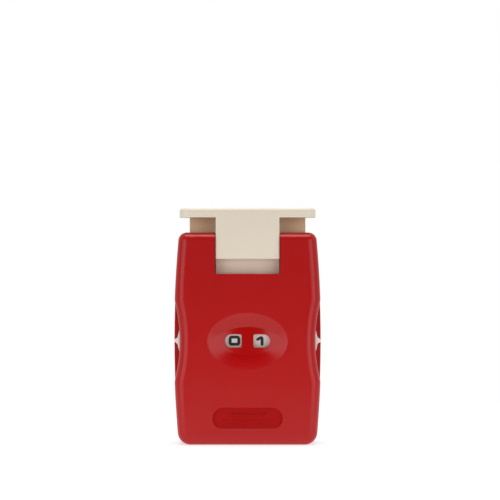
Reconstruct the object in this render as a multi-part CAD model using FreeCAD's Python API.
"""Hand-held two-digit row counter with a push button on top.

Frame: millimetres, +Z up, +X to the right, the face with the windows looks
along -Y. The origin is the middle of the bottom edge that the case stands on.
"""
import FreeCAD
import Part
import math
import os

V = FreeCAD.Vector

# ---- driving dimensions: the case -----------------------------------------
CASE_WIDTH = 42.0                # at the height of the wheels
CASE_HEIGHT = 60.5               # to the top of the two horns
SIDE_RADIUS = 325.0              # the sides bulge like a barrel
FRONT_Y, PARTING_Y, BACK_Y = -7.5, -1.2, 7.5
WALL = 1.5
FACE_ROUND, BACK_ROUND = 2.6, 2.2
BOTTOM_CORNER, TOP_CORNER = 3.7, 2.4
INNER_CORNER = 1.0
SEAM = 0.22                      # bevel of both halves where they meet
BLANK_EXTRA = 8.0                # height above the horns before the front is cut to length

SCOOP_RADIUS = 46.0              # thumb recess in each side of the front case
SCOOP_X = 19.35                  # what the recess leaves of the half width
SCOOP_BLEND = 5.0
SCOOP_WALL = 1.3

NOTCH_HALF, NOTCH_FLOOR = 9.25, 48.7
NOTCH_WALL = 1.2
NOTCH_SILL_Y = -3.9              # the notch's floor ends here, in front of the button's skirt

DISH_A, DISH_B = 11.4, 8.05      # outline of the dish round the windows
DISH_DEPTH = 1.7
DISH_TAPER = 0.5                 # share of the outline that the walls lose over the depth
DISH_LOFT = (-0.5, 2.04)         # depths between which the cone-like walls run
DISH_FLOOR_WALL, DISH_PAD = 1.2, 1.0
WINDOW_X, WINDOW_HALF_Z = (1.68, 6.42), 1.9
WINDOW_ARC, WINDOW_CORNER = 1.5, 0.4
LABEL_HALF_X, LABEL_HALF_Z, LABEL_Z = 9.65, 2.75, 7.66
LABEL_DEPTH, LABEL_BEVEL = 0.6, 0.35

SCREWS = [(-12.6, 45.0), (12.6, 45.0), (-14.5, 6.5), (14.5, 6.5)]
SCREW_R, SCREW_HEAD_R, BOSS_R = 0.95, 1.8, 2.2
SCREW_HEAD_Y = (5.6, 6.8)
SCREW_HEAD_ROUND = 0.45
SCREW_TIP_Y, SCREW_BORE_Y = -4.7, -5.3   # the shank ends short of the bore
CROSS_LONG, CROSS_WIDE, CROSS_DEPTH = 1.1, 0.22, 0.6
BOSS_MEET_Y = 3.7                # front and back screw bosses meet here

# ---- driving dimensions: the wheels -----------------------------------------
COUNTS = 10                      # digits on a wheel
STEP = 360.0 / COUNTS
WHEEL_X, WHEEL_Z = 10.8, 29.6
DISC_ROOT, DISC_TIP = 9.2, 10.15
TOOTH_FOOT, TOOTH_WAIST, TOOTH_TIP = 7.4, 4.3, 2.3    # half angles of a tooth, degrees
TOOTH_WAIST_RISE, TOOTH_TIP_DROP = 0.28, 0.18
DISC_Y = (-4.1, -1.9)
DISC_BEVEL, DISC_SPACE = 0.3, 0.4
CAM_Y = (-1.9, -1.0)
CAM_BASE, CAM_LIFT = 7.1, 1.2
LOBE_AT, LOBE_HALF, LOBE_RAMP = 233.6, 13.0, 9.0
TENS_RATCHET_Y = (-1.9, -0.7)
UNITS_RATCHET_Y = (-0.5, 1.1)
RATCHET_ROOT, RATCHET_TIP = 5.2, 6.4
RATCHET_BACK_DROP, RATCHET_BACK_ANGLE = 0.25, 6.0
RATCHET_PHASE = 162.0            # angle of the tooth face that waits under the pawl
PIN_R, PIN_PRESS_R, PIN_HEAD_R = 1.5, 1.0, 2.2
PIN_HEAD_THICK, PIN_BOSS_R = 0.4, 3.0
PIN_TIP_Y, PIN_BORE_Y = -6.0, -6.1       # the pin ends short of the bore
SLEEVE_R = 2.6
RUNNING = 0.05                   # radial clearance of everything that turns
PEG_ORBIT, DRIVE_PEG_R = 4.1, 0.5
WASHER_R, WASHER_THICK, WASHER_SLACK = 5.0, 0.15, 0.02
LEAF = 0.3                       # thickness of the steel leaves
CLICK_POST_X, CLICK_POST_Z = 5.0, (15.0, 18.2)

# ---- driving dimensions: the button -------------------------------------------
TRAVEL = 4.15                    # button stroke
CAP_HALF, CAP_Z, CAP_Y = 19.4, (64.8, 67.4), 6.8
CAP_CORNER, CAP_ROUND, CAP_ROOF = 2.6, 0.7, 1.2
BOSS_HALF, BOSS_FLOOR = 9.05, 53.0
SKIRT_Y, SKIRT_FOOT_Z = (-3.6, -2.3), 47.3    # shows in the notch below the boss
PLATE_Y = (1.7, 3.5)
PLATE_HALF, PLATE_SHOULDER_Z = 16.7, 38.0
TAIL_HALF, PLATE_FOOT_Z = 8.5, 24.0
PLATE_CORNER = 1.5
PAWL_RIVET_Z, RIVET_R, RIVET_HEAD_R = 44.2, 0.6, 1.1
RIVET_HEAD_THICK = 0.45
RIVET_X = (-4.6, 4.8)           # carry pawl, drive pawl
PAWL_FOOT_Z = (42.2, 46.2)
DRIVE_PAWL_Y, CARRY_PAWL_Y = (-0.35, 0.95), (-1.75, -1.05)
DRIVE_FOOT, CARRY_FOOT = 0.3, 0.6
CARRY_LEAF, CARRY_ARM = 0.4, 0.8

SPRING_R, SPRING_WIRE = 1.95, 0.5
SPRING_Z, SPRING_Y = (10.0, PLATE_FOOT_Z), 2.6
SPRING_COILS, WIRE_FLATS = 8, 16
SPRING_SLACK = 0.03
PEG_R, PEG_LENGTH = 1.25, 3.0
SHELF_HALF, SHELF_THICK, SHELF_LIP = 3.2, 1.8, 2.4
GUIDE_OUT_X, GUIDE_Z = 19.0, (50.0, 59.5)
RIB_THICK, RIB_Z = 1.0, (24.0, 58.5)

# ---- driving dimensions: the lock ---------------------------------------------
LOCK_Z, LOCK_TRAVEL, LOCK_REST_X = 35.5, 4.0, -2.0
TONGUE_HALF_X, TONGUE_HALF_Z = 1.5, 0.8
BAR_HALF_X, BAR_HALF_Z, BAR_Y = 6.9, 4.5, (4.1, 5.5)
BAR_CORNER = 0.8
STEM_HALF_X, STEM_HALF_Z, STEM_INNER_Y = 2.5, 1.3, 4.8
KNOB_HALF_X, KNOB_HALF_Z, KNOB_Y = 4.6, 3.3, (6.75, 7.45)
KNOB_ROUND, GROOVE_PITCH, GROOVE_HALF, GROOVE_DEPTH = 0.25, 1.1, 0.25, 0.3
GROOVE_HALF_Z = 2.2
POCKET_HALF_X, POCKET_HALF_Z, POCKET_FLOOR_Y = 7.6, 4.3, 6.7
PAD_HALF_X, PAD_HALF_Z, PAD_Y = 9.2, 5.6, 5.6
RAIL_THICK, RAIL_Y = 0.9, 4.0

# ---- fits and tools -----------------------------------------------------------
GAP = 0.3                        # between parts that pass each other
SLIDE_GAP = 0.2                  # between parts that guide each other
SINK = 0.2                       # a rib starts this deep in its wall, so that they are one
PAST = 1.0                       # a cutting tool reaches this far past the surface
ALL = (-80.0, 80.0)              # past the whole object
NEAR = 0.01


# ---- helpers ------------------------------------------------------------------
def box(x, y, z):
    """A block between the two x, two y and two z values."""
    return Part.makeBox(x[1] - x[0], y[1] - y[0], z[1] - z[0], V(x[0], y[0], z[0]))


def about(middle, half):
    """The two values at the same distance from the middle."""
    return (middle - half, middle + half)


def rod(x, z, radius, y):
    """A cylinder along Y between the two y values."""
    return Part.makeCylinder(radius, y[1] - y[0], V(x, y[0], z), V(0, 1, 0))


def prism(edges, y):
    """The closed outline in the XZ plane, carried along Y."""
    face = Part.Face(Part.Wire(Part.__sortEdges__(edges)))
    solid = face.extrude(V(0, y[1] - y[0], 0))
    solid.translate(V(0, y[0], 0))
    return solid


def line(a, b):
    return Part.LineSegment(V(a[0], 0, a[1]), V(b[0], 0, b[1])).toShape()


def arc(a, m, b):
    return Part.Arc(V(a[0], 0, a[1]), V(m[0], 0, m[1]), V(b[0], 0, b[1])).toShape()


def polygon(points, y):
    closed = points + points[:1]
    return prism([line(a, b) for a, b in zip(closed, closed[1:])], y)


def stadium(x, z, half_x, half_z, y):
    """A slot shape with round ends, long in X."""
    run = half_x - half_z
    body = box(about(x, run), y, about(z, half_z))
    return body.fuse([rod(x - run, z, half_z, y), rod(x + run, z, half_z, y)]).removeSplitter()


def polar(x, z, radius, degrees):
    a = math.radians(degrees)
    return (x + radius * math.cos(a), z + radius * math.sin(a))


def strip(points, thickness, y):
    """Bent strip that follows the points in the XZ plane, rounded at its bends."""
    parts = [rod(x, z, thickness / 2, y) for x, z in points]
    for (x0, z0), (x1, z1) in zip(points, points[1:]):
        length = math.hypot(x1 - x0, z1 - z0)
        nx, nz = -(z1 - z0) / length * thickness / 2, (x1 - x0) / length * thickness / 2
        corners = [(x0 + nx, z0 + nz), (x1 + nx, z1 + nz), (x1 - nx, z1 - nz), (x0 - nx, z0 - nz)]
        parts.append(polygon(corners, y))
    return parts[0].fuse(parts[1:]).removeSplitter()


def mirror_x(shape):
    return shape.mirror(V(0, 0, 0), V(1, 0, 0))


def edges_where(shape, test):
    return [e for e in shape.Edges if test(e)]


def along_y(edge):
    d = edge.Vertexes[-1].Point - edge.Vertexes[0].Point
    return len(edge.Vertexes) == 2 and max(abs(d.x), abs(d.z)) < NEAR


def in_plane_y(edge, y):
    places = (edge.FirstParameter, edge.LastParameter,
              (edge.FirstParameter + edge.LastParameter) / 2)
    return all(abs(edge.valueAt(p).y - y) < NEAR for p in places)


def half_width(z, inset=0.0):
    return CASE_WIDTH / 2 - inset - (z - WHEEL_Z) ** 2 / (2 * SIDE_RADIUS)


def barrel(y, z, inset=0.0):
    """Block with the bulging sides of the case."""
    mid = (z[0] + z[1]) / 2
    low, high = half_width(z[0], inset), half_width(z[1], inset)
    middle = half_width(mid, inset)
    return prism([line((-low, z[0]), (low, z[0])),
                  arc((low, z[0]), (middle, mid), (high, z[1])),
                  line((high, z[1]), (-high, z[1])),
                  arc((-high, z[1]), (-middle, mid), (-low, z[0]))], y)


def round_corners(shape, radii):
    """Rounds the corners that run along Y; radii gives a radius for each height."""
    for level, radius in radii.items():
        corners = edges_where(shape, lambda e: along_y(e)
                              and abs(e.Vertexes[0].Z - level) < NEAR)
        shape = shape.makeFillet(radius, corners)
    return shape


def hollow_blank(y):
    """The inside of either half, with rounded corners."""
    low, high = WALL, CASE_HEIGHT - WALL
    return round_corners(barrel(y, (low, high), WALL),
                         {low: BOTTOM_CORNER - WALL, high: INNER_CORNER})


def scoops(radius_extra=0.0):
    """The two thumb recesses, as cylinders along Y just outside the sides."""
    centre = SCOOP_X + SCOOP_RADIUS
    y = (FRONT_Y - PAST, BACK_Y)
    return [rod(s * centre, WHEEL_Z, SCOOP_RADIUS + radius_extra, y) for s in (-1, 1)]


def bevel_seam(shape):
    return shape.makeChamfer(SEAM, edges_where(shape, lambda e: in_plane_y(e, PARTING_Y)))


# ---- the case -------------------------------------------------------------------
def front_outer():
    """Front half of the case before it is hollowed, with its rounded face."""
    over = CASE_HEIGHT + BLANK_EXTRA
    shape = barrel((FRONT_Y, PARTING_Y), (0, over)).cut(scoops()).removeSplitter()
    shape = round_corners(shape, {0: BOTTOM_CORNER})
    ends = edges_where(shape, lambda e: along_y(e)
                       and BOTTOM_CORNER + PAST < e.Vertexes[0].Z < CASE_HEIGHT)
    shape = shape.makeFillet(SCOOP_BLEND, ends)
    rim = edges_where(shape, lambda e: in_plane_y(e, FRONT_Y) and e.CenterOfMass.z < over - PAST)
    shape = shape.makeFillet(FACE_ROUND, rim)
    shape = shape.cut(box(ALL, ALL, (CASE_HEIGHT, over + PAST)))
    return bevel_seam(round_corners(shape, {CASE_HEIGHT: TOP_CORNER}))


def dish():
    """Oval dish: cone-like walls all round, and a floor that rises to both ends."""
    rims = []
    for depth in DISH_LOFT:
        shrink = 1 - DISH_TAPER * depth / DISH_DEPTH
        rim = Part.Ellipse(V(0, 0, 0), DISH_A * shrink, DISH_B * shrink).toShape()
        rim.rotate(V(0, 0, 0), V(1, 0, 0), 90)
        rim.translate(V(0, FRONT_Y + depth, WHEEL_Z))
        rims.append(Part.Wire(rim))
    walls = Part.makeLoft(rims, True, True)
    radius = (DISH_A ** 2 + DISH_DEPTH ** 2) / (2 * DISH_DEPTH)
    trough = Part.makeCylinder(radius, 4 * DISH_B,
                               V(0, FRONT_Y + DISH_DEPTH - radius, WHEEL_Z - 2 * DISH_B))
    return walls.common(trough)


def window(side):
    """Opening over one digit, round on the side towards its wheel's centre."""
    inner, outer = WINDOW_X
    straight = outer - WINDOW_ARC
    low, high = about(WHEEL_Z, WINDOW_HALF_Z)
    shape = prism([line((inner, low), (straight, low)),
                   arc((straight, low), (outer, WHEEL_Z), (straight, high)),
                   line((straight, high), (inner, high)),
                   line((inner, high), (inner, low))], (FRONT_Y - PAST, DISC_Y[0]))
    inside = edges_where(shape, lambda e: along_y(e) and abs(e.Vertexes[0].X - inner) < NEAR)
    shape = shape.makeFillet(WINDOW_CORNER, inside)
    return shape if side > 0 else mirror_x(shape)


def label():
    """Shallow recess with round ends and a bevelled rim, for an emblem."""
    y = (FRONT_Y, FRONT_Y + LABEL_DEPTH)
    recess = stadium(0, LABEL_Z, LABEL_HALF_X + LABEL_BEVEL, LABEL_HALF_Z + LABEL_BEVEL, y)
    return recess.makeChamfer(LABEL_BEVEL, edges_where(recess, lambda e: in_plane_y(e, y[1])))


def notch(extra, depth_y):
    return box(about(0, NOTCH_HALF + extra), depth_y,
               (NOTCH_FLOOR - extra, CASE_HEIGHT + BLANK_EXTRA))


def front_cavity():
    """What is hollow inside the front case."""
    hollow = hollow_blank((FRONT_Y + WALL, PARTING_Y + PAST))
    hollow = hollow.cut(scoops(SCOOP_WALL))
    hollow = hollow.cut(notch(NOTCH_WALL, (FRONT_Y, BACK_Y)))
    rim = Part.Ellipse(V(0, 0, 0), DISH_A + DISH_PAD, DISH_B + DISH_PAD).toShape()
    rim.rotate(V(0, 0, 0), V(1, 0, 0), 90)
    pad = Part.Face(Part.Wire(rim)).extrude(V(0, DISH_DEPTH + DISH_FLOOR_WALL - WALL, 0))
    pad.translate(V(0, FRONT_Y + WALL, WHEEL_Z))
    return hollow.cut(pad)


def click_spring_shape():
    """Leaf whose nose rests in a gap between two teeth of the units disc."""
    nose = WHEEL_Z - DISC_ROOT - GAP
    points = [(0.6, 16.5), (6.0, 16.7), (9.7, nose - 1.5), (WHEEL_X, nose),
              (11.9, nose - 1.5), (14.2, nose - 2.0)]
    return strip(points, LEAF, (DISC_Y[0] + SLIDE_GAP, DISC_Y[1] - SLIDE_GAP))


def notch_walls():
    """The sides of the notch reach back to the slide plate."""
    walls = []
    for side in (-1, 1):
        x = sorted((side * NOTCH_HALF, side * (NOTCH_HALF + NOTCH_WALL)))
        walls.append(box(x, (PARTING_Y - SINK, PLATE_Y[0] - GAP),
                         (NOTCH_FLOOR - NOTCH_WALL, CASE_HEIGHT)))
    return walls


def front_case():
    shape = front_outer().cut(front_cavity())
    skirt_way = box(about(0, NOTCH_HALF), (NOTCH_SILL_Y, BACK_Y),
                    (NOTCH_FLOOR - NOTCH_WALL - PAST, NOTCH_FLOOR + PAST))
    shape = shape.cut([notch(0, (FRONT_Y - PAST, BACK_Y)), skirt_way,
                       dish(), window(-1), window(1), label()])
    for side in (-1, 1):
        shape = shape.cut(rod(side * WHEEL_X, WHEEL_Z, DISC_TIP + DISC_SPACE,
                              (DISC_Y[0] - GAP, PARTING_Y + PAST)))
    inner = FRONT_Y + WALL - SINK
    additions = notch_walls()
    for side in (-1, 1):
        additions.append(rod(side * WHEEL_X, WHEEL_Z, PIN_BOSS_R, (inner, DISC_Y[0] - 2 * RUNNING)))
    for x, z in SCREWS:
        additions.append(rod(x, z, BOSS_R, (inner, BOSS_MEET_Y)))
    post = box(about(0, CLICK_POST_X), (inner, DISC_Y[1] - SLIDE_GAP), CLICK_POST_Z)
    spring = click_spring_shape()
    additions.append(post.cut([spring, mirror_x(spring)]))
    shape = shape.fuse(additions).removeSplitter()
    drills = [rod(x, z, SCREW_R, (SCREW_BORE_Y, BOSS_MEET_Y + PAST)) for x, z in SCREWS]
    drills += [rod(s * WHEEL_X, WHEEL_Z, PIN_PRESS_R, (PIN_BORE_Y, 0)) for s in (-1, 1)]
    return shape.cut(drills)


def back_outer():
    shape = barrel((PARTING_Y, BACK_Y), (0, CASE_HEIGHT))
    shape = round_corners(shape, {0: BOTTOM_CORNER, CASE_HEIGHT: TOP_CORNER})
    rim = edges_where(shape, lambda e: in_plane_y(e, BACK_Y))
    return bevel_seam(shape.makeFillet(BACK_ROUND, rim))


def slide_slot():
    """Slot in the top for the slide plate, wider in the middle for the button's boss."""
    top = (CASE_HEIGHT - WALL - PAST, CASE_HEIGHT + PAST)
    plate_way = (PLATE_Y[0] - SLIDE_GAP, PLATE_Y[1] + SLIDE_GAP)
    return [box(about(0, PLATE_HALF + SLIDE_GAP), plate_way, top),
            box(about(0, NOTCH_HALF + NOTCH_WALL), (PARTING_Y - PAST, PLATE_Y[0]), top)]


def back_ribs(inner):
    """Guides beside the plate, ribs behind it, the spring's shelf and the lock's pad."""
    ribs = []
    for side in (-1, 1):
        guide = sorted((side * (PLATE_HALF + SLIDE_GAP), side * GUIDE_OUT_X))
        ribs.append(box(guide, (PLATE_Y[0], inner), GUIDE_Z))
        rib = sorted((side * (PAD_HALF_X + SINK), side * (PAD_HALF_X + SINK + RIB_THICK)))
        ribs.append(box(rib, (PLATE_Y[1] + 2 * RUNNING, inner), RIB_Z))
        rail = sorted((LOCK_Z + side * (PAD_HALF_Z - RAIL_THICK), LOCK_Z + side * PAD_HALF_Z))
        ribs.append(box(about(0, PAD_HALF_X), (RAIL_Y, inner), rail))
    ribs.append(box(about(0, SHELF_HALF), (SPRING_Y - SHELF_LIP, inner),
                    (SPRING_Z[0] - SHELF_THICK, SPRING_Z[0])))
    ribs.append(Part.makeCylinder(PEG_R, PEG_LENGTH, V(0, SPRING_Y, SPRING_Z[0]), V(0, 0, 1)))
    ribs.append(box(about(0, PAD_HALF_X), (PAD_Y, inner), about(LOCK_Z, PAD_HALF_Z)))
    return ribs


def back_cover():
    shape = back_outer().cut([hollow_blank((PARTING_Y - PAST, BACK_Y - WALL))] + slide_slot())
    inner = BACK_Y - WALL + SINK
    additions = back_ribs(inner)
    additions += [rod(x, z, BOSS_R, (BOSS_MEET_Y, inner)) for x, z in SCREWS]
    shape = shape.fuse(additions).removeSplitter()
    cuts = [stadium(0, LOCK_Z, POCKET_HALF_X, POCKET_HALF_Z, (POCKET_FLOOR_Y, BACK_Y + PAST)),
            box(about(0, STEM_HALF_X + LOCK_TRAVEL / 2 + SLIDE_GAP), (BAR_Y[1] - SINK, BACK_Y + PAST),
                about(LOCK_Z, STEM_HALF_Z + SLIDE_GAP))]
    for x, z in SCREWS:
        cuts.append(rod(x, z, SCREW_R + 2 * RUNNING, (BOSS_MEET_Y - PAST, BACK_Y + PAST)))
        cuts.append(rod(x, z, SCREW_HEAD_R + SLIDE_GAP, (SCREW_HEAD_Y[0], BACK_Y + PAST)))
    return shape.cut(cuts)


def case_screws():
    """Four pan-head self-tapping screws with a cross recess."""
    solids = []
    for x, z in SCREWS:
        head = rod(x, z, SCREW_HEAD_R, SCREW_HEAD_Y)
        outside = edges_where(head, lambda e: in_plane_y(e, SCREW_HEAD_Y[1]))
        head = head.makeFillet(SCREW_HEAD_ROUND, outside)
        shank = rod(x, z, SCREW_R, (SCREW_TIP_Y, SCREW_HEAD_Y[0] + SINK))
        recess_y = (SCREW_HEAD_Y[1] - CROSS_DEPTH, BACK_Y)
        cross = [box(about(x, a), recess_y, about(z, b))
                 for a, b in ((CROSS_LONG, CROSS_WIDE), (CROSS_WIDE, CROSS_LONG))]
        solids.append(head.fuse(shank).removeSplitter().cut(cross))
    return Part.makeCompound(solids)


# ---- number wheels --------------------------------------------------------------
def star_outline(x, z):
    """Rim of a number disc: one blunt tooth per digit between round stretches."""
    heights = [(DISC_ROOT, TOOTH_FOOT), (DISC_ROOT + TOOTH_WAIST_RISE, TOOTH_WAIST),
               (DISC_TIP - TOOTH_TIP_DROP, TOOTH_TIP)]
    edges = []
    for k in range(COUNTS):
        a = k * STEP
        before, after = [[polar(x, z, radius, a + side * angle) for radius, angle in heights]
                         for side in (-1, 1)]
        edges.append(arc(*before))
        edges.append(arc(before[2], polar(x, z, DISC_TIP, a), after[2]))
        edges.append(arc(after[2], after[1], after[0]))
        edges.append(arc(after[0], polar(x, z, DISC_ROOT, a + STEP / 2),
                         polar(x, z, DISC_ROOT, a + STEP - TOOTH_FOOT)))
    return edges


def drive_pegs(x, y):
    return [rod(*polar(x, WHEEL_Z, PEG_ORBIT, a), DRIVE_PEG_R, y) for a in (90, 270)]


def number_disc(x, bore, peg_y):
    blank = rod(x, WHEEL_Z, DISC_TIP + RUNNING, DISC_Y)
    front = edges_where(blank, lambda e: in_plane_y(e, DISC_Y[0]))
    blank = blank.makeChamfer(DISC_BEVEL, front)
    disc = prism(star_outline(x, WHEEL_Z), DISC_Y).common(blank)
    disc = disc.fuse(drive_pegs(x, (DISC_Y[0] + PAST, peg_y))).removeSplitter()
    return disc.cut(rod(x, WHEEL_Z, bore, ALL))


def ratchet_wheel(y):
    """Saw-tooth wheel for the units side; the pawl pushes it anticlockwise."""
    points = []
    for k in range(COUNTS):
        a = RATCHET_PHASE + k * STEP
        points += [polar(WHEEL_X, WHEEL_Z, RATCHET_ROOT, a),
                   polar(WHEEL_X, WHEEL_Z, RATCHET_TIP, a),
                   polar(WHEEL_X, WHEEL_Z, RATCHET_TIP - RATCHET_BACK_DROP, a + RATCHET_BACK_ANGLE)]
    return polygon(points, y)


def units_ratchet():
    """Ratchet with the sleeve that carries the units disc."""
    sleeve = rod(WHEEL_X, WHEEL_Z, SLEEVE_R, (DISC_Y[0], UNITS_RATCHET_Y[1]))
    shape = ratchet_wheel(UNITS_RATCHET_Y).fuse(sleeve).removeSplitter()
    return shape.cut(rod(WHEEL_X, WHEEL_Z, PIN_R + RUNNING, ALL))


def tens_ratchet():
    """Mirror image of the units ratchet, fixed to the tens disc."""
    hub = rod(WHEEL_X, WHEEL_Z, SLEEVE_R, (TENS_RATCHET_Y[0], UNITS_RATCHET_Y[1]))
    shape = ratchet_wheel(TENS_RATCHET_Y).fuse(hub).removeSplitter()
    return mirror_x(shape.cut([rod(WHEEL_X, WHEEL_Z, PIN_R + RUNNING, ALL)]
                              + drive_pegs(WHEEL_X, ALL)))


def carry_cam():
    """Ring with one lobe behind the units disc; the lobe works the carry pawl at nine."""
    x, z = WHEEL_X, WHEEL_Z
    top = CAM_BASE + CAM_LIFT
    start, end = about(LOBE_AT, LOBE_HALF)
    foot0, foot1 = [polar(x, z, CAM_BASE, a) for a in (start - LOBE_RAMP, end + LOBE_RAMP)]
    crest0, crest1 = [polar(x, z, top, a) for a in (start, end)]
    edges = [line(foot0, crest0),
             arc(crest0, polar(x, z, top, LOBE_AT), crest1),
             line(crest1, foot1),
             arc(foot1, polar(x, z, CAM_BASE, LOBE_AT + 180), foot0)]
    shape = prism(edges, CAM_Y)
    return shape.cut([rod(x, z, SLEEVE_R + RUNNING, ALL)] + drive_pegs(x, ALL))


def clutch_washer():
    """Conical spring washer that presses the units disc against its ratchet."""
    inner = SLEEVE_R + RUNNING
    y0, y1 = CAM_Y[1] + WASHER_SLACK, UNITS_RATCHET_Y[0] - WASHER_SLACK
    points = [V(inner, y1 - WASHER_THICK, 0), V(inner, y1, 0),
              V(WASHER_R, y0 + WASHER_THICK, 0), V(WASHER_R, y0, 0)]
    face = Part.Face(Part.makePolygon(points + points[:1]))
    shape = face.revolve(V(0, 0, 0), V(0, 1, 0), 360)
    shape.translate(V(WHEEL_X, 0, WHEEL_Z))
    return shape


def axle_pin():
    """Steel pin pressed into the front case, with a head that holds the wheel on."""
    x, z = WHEEL_X, WHEEL_Z
    shoulder, under_head = DISC_Y[0] - 2 * RUNNING, UNITS_RATCHET_Y[1] + RUNNING
    press = rod(x, z, PIN_PRESS_R, (PIN_TIP_Y, shoulder))
    shaft = rod(x, z, PIN_R, (shoulder, under_head))
    head = rod(x, z, PIN_HEAD_R, (under_head, under_head + PIN_HEAD_THICK))
    return press.fuse([shaft, head]).removeSplitter()


# ---- button ---------------------------------------------------------------------
def button_cap():
    """Wide thumb bar with the boss that fills the notch, hollow from behind.

    A skirt hangs from the boss through the floor of the notch, and keeps dust out.
    """
    bar = box(about(0, CAP_HALF), about(0, CAP_Y), CAP_Z)
    upright = edges_where(bar, lambda e: abs(e.Vertexes[0].Z - e.Vertexes[1].Z) > PAST)
    bar = bar.makeFillet(CAP_CORNER, upright)
    boss = box(about(0, BOSS_HALF), (-CAP_Y, PLATE_Y[0]), (BOSS_FLOOR, CAP_Z[0] + PAST))
    skirt = box(about(0, BOSS_HALF), SKIRT_Y, (SKIRT_FOOT_Z, BOSS_FLOOR + WALL))
    shape = bar.fuse([boss, skirt]).removeSplitter()
    rim = edges_where(shape, lambda e: all(abs(v.Z - CAP_Z[1]) < NEAR for v in e.Vertexes))
    shape = shape.makeFillet(CAP_ROUND, rim)
    hollow = box(about(0, BOSS_HALF - WALL), (-CAP_Y + WALL, PLATE_Y[0]),
                 (BOSS_FLOOR + WALL, CAP_Z[1] - CAP_ROOF - 2 * WALL))
    seat = box(about(0, PLATE_HALF), PLATE_Y, (BOSS_FLOOR, CAP_Z[1] - CAP_ROOF))
    return shape.cut([hollow, seat])


def screw_ways():
    """Long holes that let the plate pass the two upper screw bosses."""
    run = BOSS_R + SLIDE_GAP
    ways = []
    for x, z in SCREWS[:2]:
        ways.append(box(about(x, run), PLATE_Y, (z, z + TRAVEL)))
        ways += [rod(x, z + dz, run, PLATE_Y) for dz in (0, TRAVEL)]
    return ways


def lock_gate():
    """A free bay for the lock's tongue, and two notches one stroke apart."""
    low, high = about(LOCK_Z, TONGUE_HALF_Z + GAP)
    bay = (LOCK_REST_X - TONGUE_HALF_X - PAST, LOCK_REST_X + TONGUE_HALF_X + GAP)
    gate = [box(bay, PLATE_Y, (low, high + TRAVEL))]
    for step in (0, TRAVEL):
        gate.append(box((bay[1] - SINK, bay[1] + LOCK_TRAVEL), PLATE_Y, (low + step, high + step)))
    return gate


def slide_plate():
    """Flat carriage behind the wheels; it carries the cap, both pawls and the lock gate."""
    shape = box(about(0, PLATE_HALF), PLATE_Y, (PLATE_SHOULDER_Z, CAP_Z[1] - CAP_ROOF))
    tail = box(about(0, TAIL_HALF), PLATE_Y, (PLATE_FOOT_Z, PLATE_SHOULDER_Z + PAST))
    shape = shape.fuse(tail).removeSplitter()
    lower = edges_where(shape, lambda e: along_y(e) and e.Vertexes[0].Z < PLATE_SHOULDER_Z + PAST)
    shape = shape.makeFillet(PLATE_CORNER, lower)
    rivet_holes = [rod(x, PAWL_RIVET_Z, RIVET_R, PLATE_Y) for x in RIVET_X]
    foot = PLATE_FOOT_Z - PEG_LENGTH
    peg = Part.makeCylinder(PEG_R, PEG_LENGTH + SINK, V(0, SPRING_Y, foot), V(0, 0, 1))
    peg = peg.common(box(about(0, PEG_R), PLATE_Y, (foot, PLATE_FOOT_Z + SINK)))
    return shape.cut(screw_ways() + lock_gate() + rivet_holes).fuse(peg).removeSplitter()


def drive_pawl():
    """Steel leaf on the slide plate; its hooked end pushes the units ratchet."""
    root_x, out_x = 2.9, 6.8
    leaf = strip([(root_x, PAWL_FOOT_Z[0] + SINK), (3.75, 33.6), (5.25, 32.1)], LEAF, DRIVE_PAWL_Y)
    inside = root_x - LEAF / 2
    web = box((inside, inside + LEAF), (DRIVE_PAWL_Y[0], PLATE_Y[0]), PAWL_FOOT_Z)
    foot = box((inside, out_x), (PLATE_Y[0] - DRIVE_FOOT, PLATE_Y[0]), PAWL_FOOT_Z)
    shape = leaf.fuse([web, foot]).removeSplitter()
    return shape.cut(rod(RIVET_X[1], PAWL_RIVET_Z, RIVET_R, (0, PLATE_Y[1])))


def carry_pawl():
    """Moulded leaf with a hook for the tens ratchet and a follower for the carry cam."""
    root_x, out_x = -2.6, -6.6
    fork = (-2.9, 34.4)
    leaf = strip([(root_x, PAWL_FOOT_Z[0] + SINK), fork, (-4.32, 32.1)], CARRY_LEAF, CARRY_PAWL_Y)
    follower = strip([fork, (1.2, 33.4), (3.67, 32.5)], CARRY_ARM, CARRY_PAWL_Y)
    inside = root_x + CARRY_LEAF / 2
    web = box((inside - CARRY_LEAF, inside), (CARRY_PAWL_Y[0], PLATE_Y[0]), PAWL_FOOT_Z)
    foot = box((out_x, inside), (PLATE_Y[0] - CARRY_FOOT, PLATE_Y[0]), PAWL_FOOT_Z)
    shape = leaf.fuse([follower, web, foot]).removeSplitter()
    return shape.cut(rod(RIVET_X[0], PAWL_RIVET_Z, RIVET_R, (0, PLATE_Y[1])))


def pawl_rivets():
    """Rivets that hold the two pawls on the slide plate."""
    solids = []
    for x, foot in zip(RIVET_X, (CARRY_FOOT, DRIVE_FOOT)):
        front = PLATE_Y[0] - foot
        shank = rod(x, PAWL_RIVET_Z, RIVET_R, (front - SINK, PLATE_Y[1]))
        head = rod(x, PAWL_RIVET_Z, RIVET_HEAD_R, (front - RIVET_HEAD_THICK, front))
        solids.append(shank.fuse(head).removeSplitter())
    return Part.makeCompound(solids)


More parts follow.
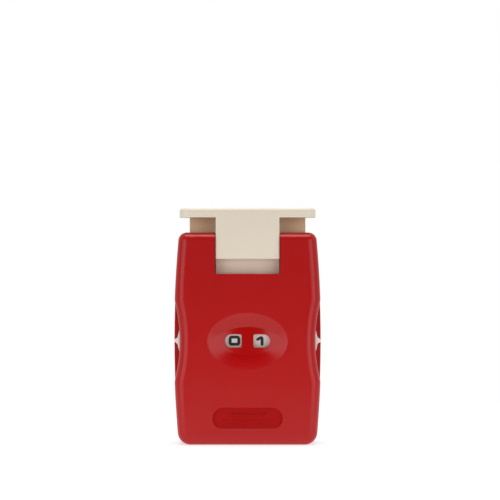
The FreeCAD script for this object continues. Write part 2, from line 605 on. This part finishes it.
def return_spring():
    """Coil spring that lifts the button; its round wire is drawn with narrow flats."""
    height = SPRING_Z[1] - SPRING_Z[0] - SPRING_WIRE - 2 * SPRING_SLACK
    pitch = height / SPRING_COILS
    along = V(0, 2 * math.pi * SPRING_R, pitch).normalize()
    across = V(1, 0, 0)
    up = along.cross(across)
    corners = []
    for k in range(WIRE_FLATS):
        a = 2 * math.pi * k / WIRE_FLATS
        spoke = across * math.cos(a) + up * math.sin(a)
        corners.append(V(SPRING_R, 0, 0) + spoke * (SPRING_WIRE / 2))
    section = Part.makePolygon(corners + corners[:1])
    path = Part.Wire(Part.makeHelix(pitch, height, SPRING_R))
    spring = path.makePipeShell([section], True, True)
    spring.translate(V(0, SPRING_Y, SPRING_Z[0] + SPRING_WIRE / 2 + SPRING_SLACK))
    return spring


# ---- lock -----------------------------------------------------------------------
def lock_stem(y):
    """The neck that joins knob and bar through the wall."""
    return box(about(LOCK_REST_X, STEM_HALF_X), y, about(LOCK_Z, STEM_HALF_Z))


def lock_bar():
    """Inner bar of the lock; its tongue reaches into the gate of the slide plate."""
    bar = box(about(LOCK_REST_X, BAR_HALF_X), BAR_Y, about(LOCK_Z, BAR_HALF_Z))
    bar = bar.makeFillet(BAR_CORNER, edges_where(bar, along_y))
    tongue = box(about(LOCK_REST_X, TONGUE_HALF_X), (PLATE_Y[0] + SINK, BAR_Y[0] + SINK),
                 about(LOCK_Z, TONGUE_HALF_Z))
    return bar.fuse(tongue).removeSplitter().cut(lock_stem((STEM_INNER_Y, BACK_Y)))


def lock_knob():
    """Ribbed thumb pad of the lock, flush with the back."""
    pad = stadium(LOCK_REST_X, LOCK_Z, KNOB_HALF_X, KNOB_HALF_Z, KNOB_Y)
    pad = pad.makeFillet(KNOB_ROUND, edges_where(pad, lambda e: in_plane_y(e, KNOB_Y[1])))
    stem = lock_stem((STEM_INNER_Y, KNOB_Y[0] + SINK))
    grooves = [box(about(LOCK_REST_X + k * GROOVE_PITCH, GROOVE_HALF),
                   (KNOB_Y[1] - GROOVE_DEPTH, BACK_Y + PAST), about(LOCK_Z, GROOVE_HALF_Z))
               for k in (-2, -1, 0, 1, 2)]
    return pad.fuse(stem).removeSplitter().cut(grooves)


# ---- assembly -------------------------------------------------------------------
def all_parts():
    spring = click_spring_shape()
    return {
        "front_case": front_case(),
        "back_cover": back_cover(),
        "case_screws": case_screws(),
        "tens_axle_pin": mirror_x(axle_pin()),
        "units_axle_pin": axle_pin(),
        "tens_click_spring": mirror_x(spring),
        "units_click_spring": spring,
        "tens_disc": number_disc(-WHEEL_X, PIN_R + RUNNING, TENS_RATCHET_Y[1]),
        "tens_ratchet": tens_ratchet(),
        "units_disc": number_disc(WHEEL_X, SLEEVE_R + RUNNING, CAM_Y[1]),
        "carry_cam": carry_cam(),
        "units_ratchet": units_ratchet(),
        "clutch_washer": clutch_washer(),
        "button_cap": button_cap(),
        "slide_plate": slide_plate(),
        "drive_pawl": drive_pawl(),
        "carry_pawl": carry_pawl(),
        "pawl_rivets": pawl_rivets(),
        "return_spring": return_spring(),
        "lock_bar": lock_bar(),
        "lock_knob": lock_knob(),
    }


def main():
    os.makedirs("parts", exist_ok=True)
    for name, shape in all_parts().items():
        solids = shape.Solids
        good = shape.isValid() and all(s.isClosed() and s.Volume > 0 for s in solids)
        print(f"{name:20s} solids {len(solids)}  volume {shape.Volume:9.2f}  good {good}")
        shape.exportStep(f"parts/{name}.step")


main()
